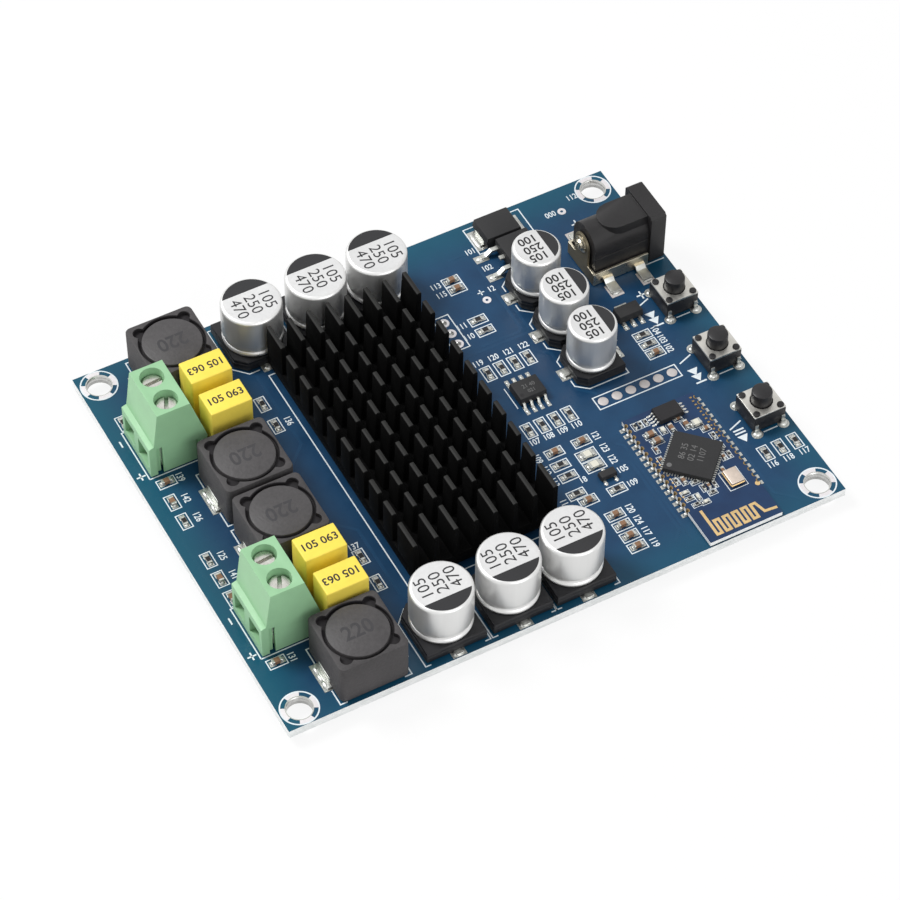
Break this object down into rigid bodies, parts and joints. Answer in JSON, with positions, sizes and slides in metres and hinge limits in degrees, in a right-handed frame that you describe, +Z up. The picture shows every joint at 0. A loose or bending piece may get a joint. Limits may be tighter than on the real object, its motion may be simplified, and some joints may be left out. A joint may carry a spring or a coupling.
{
  "type": "audio amplifier board",
  "caption": "Stereo audio amplifier circuit board with finned heatsink, screw terminals for wires, DC barrel socket, wireless module and push buttons.",
  "frame": {"origin": "centre of the board in plan, at the tips of the solder tails, which is where the part rests", "axes": "+X along the board's long edge towards the power socket, +Y along the short edge, +Z up out of the component side"},
  "size_m": [0.097, 0.0768, 0.017],
  "materials": {
    "board": "blue solder mask over glass-fibre laminate, satin",
    "black_anodised": "black anodised extruded aluminium",
    "black_plastic": "moulded black plastic, fine matt grain",
    "can": "drawn bare aluminium, satin",
    "ferrite": "dark grey pressed ferrite",
    "yellow": "yellow moulded box, satin",
    "green": "pale green moulded plastic",
    "steel": "nickel-plated steel",
    "tin": "tinned brass sheet"
  },
  "bodies": {
    "board": {"circuit_board": "board", "heatsink": "black_anodised", "amplifier_chip": "black_plastic", "output_capacitor_1_can": "can", "output_capacitor_1_base": "black_plastic", "output_capacitor_2_can": "can", "output_capacitor_2_base": "black_plastic", "output_capacitor_3_can": "can", "output_capacitor_3_base": "black_plastic", "output_capacitor_4_can": "can", "output_capacitor_4_base": "black_plastic", "output_capacitor_5_can": "can", "output_capacitor_5_base": "black_plastic", "output_capacitor_6_can": "can", "output_capacitor_6_base": "black_plastic", "input_capacitor_1_can": "can", "input_capacitor_1_base": "black_plastic", "input_capacitor_2_can": "can", "input_capacitor_2_base": "black_plastic", "input_capacitor_3_can": "can", "input_capacitor_3_base": "black_plastic", "inductor_1": "ferrite", "inductor_2": "ferrite", "inductor_3": "ferrite", "inductor_4": "ferrite", "film_capacitor_1": "yellow", "film_capacitor_2": "yellow", "film_capacitor_3": "yellow", "film_capacitor_4": "yellow", "terminal_housing_1": "green", "terminal_housing_2": "green", "jack_housing": "black_plastic", "jack_shell": "tin", "jack_pin": "tin", "switch_body_1": "black_plastic", "switch_cover_1": "steel", "switch_body_2": "black_plastic", "switch_cover_2": "steel", "switch_body_3": "black_plastic", "switch_cover_3": "steel", "power_diode": "black_plastic", "voltage_regulator": "black_plastic", "linear_regulator": "black_plastic", "preamp_chip": "black_plastic", "wireless_module": "board", "radio_chip": "black_plastic", "memory_chip": "black_plastic", "crystal": "steel"},
    "button_1": {"button_1": "black_plastic"},
    "button_2": {"button_2": "black_plastic"},
    "button_3": {"button_3": "black_plastic"},
    "screw_1": {"terminal_screw_1": "steel"},
    "cage_1": {"clamp_cage_1": "steel"},
    "screw_2": {"terminal_screw_2": "steel"},
    "cage_2": {"clamp_cage_2": "steel"},
    "screw_3": {"terminal_screw_3": "steel"},
    "cage_3": {"clamp_cage_3": "steel"},
    "screw_4": {"terminal_screw_4": "steel"},
    "cage_4": {"clamp_cage_4": "steel"}
  },
  "joints": [
    {"name": "button_1_press", "type": "slide", "parent": "board", "child": "button_1", "axis": [0, 0, -1], "range_m": [0, 0.00025], "stiffness_N_per_m": 1500},
    {"name": "button_2_press", "type": "slide", "parent": "board", "child": "button_2", "axis": [0, 0, -1], "range_m": [0, 0.00025], "stiffness_N_per_m": 1500},
    {"name": "button_3_press", "type": "slide", "parent": "board", "child": "button_3", "axis": [0, 0, -1], "range_m": [0, 0.00025], "stiffness_N_per_m": 1500},
    {"name": "screw_1_turn", "type": "hinge", "parent": "board", "child": "screw_1", "pos_m": [-0.04135, 0.02195, 0.0138], "axis": [0, 0, -1], "range_deg": [0, 1590]},
    {"name": "cage_1_rise", "type": "slide", "parent": "board", "child": "cage_1", "axis": [0, 0, 1], "range_m": [0, 0.002]},
    {"name": "screw_2_turn", "type": "hinge", "parent": "board", "child": "screw_2", "pos_m": [-0.04135, 0.01695, 0.0138], "axis": [0, 0, -1], "range_deg": [0, 1590]},
    {"name": "cage_2_rise", "type": "slide", "parent": "board", "child": "cage_2", "axis": [0, 0, 1], "range_m": [0, 0.002]},
    {"name": "screw_3_turn", "type": "hinge", "parent": "board", "child": "screw_3", "pos_m": [-0.04135, -0.01695, 0.0138], "axis": [0, 0, -1], "range_deg": [0, 1590]},
    {"name": "cage_3_rise", "type": "slide", "parent": "board", "child": "cage_3", "axis": [0, 0, 1], "range_m": [0, 0.002]},
    {"name": "screw_4_turn", "type": "hinge", "parent": "board", "child": "screw_4", "pos_m": [-0.04135, -0.02195, 0.0138], "axis": [0, 0, -1], "range_deg": [0, 1590]},
    {"name": "cage_4_rise", "type": "slide", "parent": "board", "child": "cage_4", "axis": [0, 0, 1], "range_m": [0, 0.002]}
  ],
  "couplings": [
    {"joint": "screw_1_turn", "follows": "cage_1_rise", "rad_per_m": 13875},
    {"joint": "screw_2_turn", "follows": "cage_2_rise", "rad_per_m": 13875},
    {"joint": "screw_3_turn", "follows": "cage_3_rise", "rad_per_m": 13875},
    {"joint": "screw_4_turn", "follows": "cage_4_rise", "rad_per_m": 13875}
  ]
}
